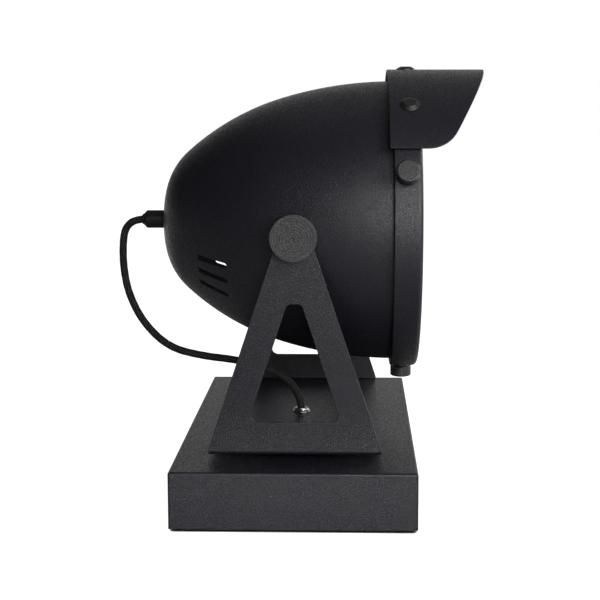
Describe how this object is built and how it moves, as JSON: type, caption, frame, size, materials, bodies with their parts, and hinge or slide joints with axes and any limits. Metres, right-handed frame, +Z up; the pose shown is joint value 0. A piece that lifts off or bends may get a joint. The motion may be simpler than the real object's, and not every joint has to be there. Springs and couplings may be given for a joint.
{
  "type": "tabletop searchlight lamp",
  "caption": "Black steel searchlight table lamp: bullet-shaped head with vents, front ring and visor, tilting between the cheeks of a folded yoke that pans on a box base.",
  "frame": {"origin": "on the pan axis, level with the underside of the foot mat", "axes": "+X is the way the beam points at rest, +Y is the lamp's left side, +Z is up"},
  "size_m": [0.2966, 0.2812, 0.3356],
  "materials": {
    "powder_black": "fine sand-textured powder coat, matt",
    "knob_black": "turned and black coated, fine rings",
    "screw_black": "black coated, satin",
    "turned_black": "black, satin",
    "nickel": "bright nickel plate",
    "zinc_steel": "zinc plate",
    "brass": "plain",
    "aluminium": "pressed, satin",
    "rubber_black": "matt",
    "plastic_black": "matt moulded",
    "plastic_white": "moulded",
    "ceramic": "glazed white",
    "fibre": "vulcanised fibre",
    "opal_glass": "opal",
    "cord_textile": "braided textile"
  },
  "bodies": {
    "base": {"base_box": "powder_black", "bottom_plate": "powder_black", "bottom_screws": "zinc_steel", "foot_mat": "rubber_black", "pan_spacer": "plastic_black", "pan_nipple": "nickel", "pan_washer": "nickel", "pan_top_nut": "nickel", "pan_spring_washer": "zinc_steel", "pan_lock_nut": "zinc_steel", "mains_bushing": "rubber_black", "cord_clamp": "plastic_black", "clamp_screws": "zinc_steel", "terminal_block": "plastic_white", "terminal_screw": "zinc_steel", "earth_nut": "zinc_steel", "earth_screw": "zinc_steel"},
    "yoke": {"yoke": "powder_black", "knob_washers": "turned_black", "head_cord": "cord_textile"},
    "head": {"head_shell": "powder_black", "friction_washers": "fibre", "front_ring": "powder_black", "ring_nuts": "zinc_steel", "visor": "powder_black", "visor_spacers": "turned_black", "visor_screws": "screw_black", "visor_nuts": "zinc_steel", "pivot_boss_left": "turned_black", "pivot_boss_right": "turned_black", "cord_gland": "plastic_black", "holder_nipple": "zinc_steel", "holder_nut": "zinc_steel", "holder_cap": "plastic_black", "holder_body": "plastic_black", "socket_disc": "ceramic", "socket_sleeve": "brass", "bulb_cap": "aluminium", "bulb_glass": "opal_glass"},
    "knob_left": {"clamp_knob_left": "knob_black", "clamp_stud_left": "zinc_steel"},
    "knob_right": {"clamp_knob_right": "knob_black", "clamp_stud_right": "zinc_steel"},
    "thumb_bottom": {"thumbscrew_bottom": "knob_black"},
    "thumb_left": {"thumbscrew_left": "knob_black"},
    "thumb_right": {"thumbscrew_right": "knob_black"}
  },
  "joints": [
    {"name": "pan", "type": "hinge", "parent": "base", "child": "yoke", "pos_m": [0, 0, 0.0505], "axis": [0, 0, 1], "range_deg": [-165, 165]},
    {"name": "tilt", "type": "hinge", "parent": "yoke", "child": "head", "pos_m": [0, 0, 0.21104], "axis": [0, -1, 0], "range_deg": [-20, 45], "deforming": ["head_cord"]},
    {"name": "knob_left_turn", "type": "hinge", "parent": "head", "child": "knob_left", "pos_m": [0, 0.115, 0.21104], "axis": [0, 1, 0], "range_deg": [0, 360]},
    {"name": "knob_right_turn", "type": "hinge", "parent": "head", "child": "knob_right", "pos_m": [0, -0.115, 0.21104], "axis": [0, -1, 0], "range_deg": [0, 360]},
    {"name": "thumbscrew_bottom_turn", "type": "hinge", "parent": "head", "child": "thumb_bottom", "pos_m": [0.0823, 0, 0.08604], "axis": [0, 0, -1], "range_deg": [0, 360]},
    {"name": "thumbscrew_left_turn", "type": "hinge", "parent": "head", "child": "thumb_left", "pos_m": [0.0823, 0.1159, 0.25787], "axis": [0, 0.9272, 0.3746], "range_deg": [0, 360]},
    {"name": "thumbscrew_right_turn", "type": "hinge", "parent": "head", "child": "thumb_right", "pos_m": [0.0823, -0.1159, 0.25787], "axis": [0, -0.9272, 0.3746], "range_deg": [0, 360]}
  ]
}
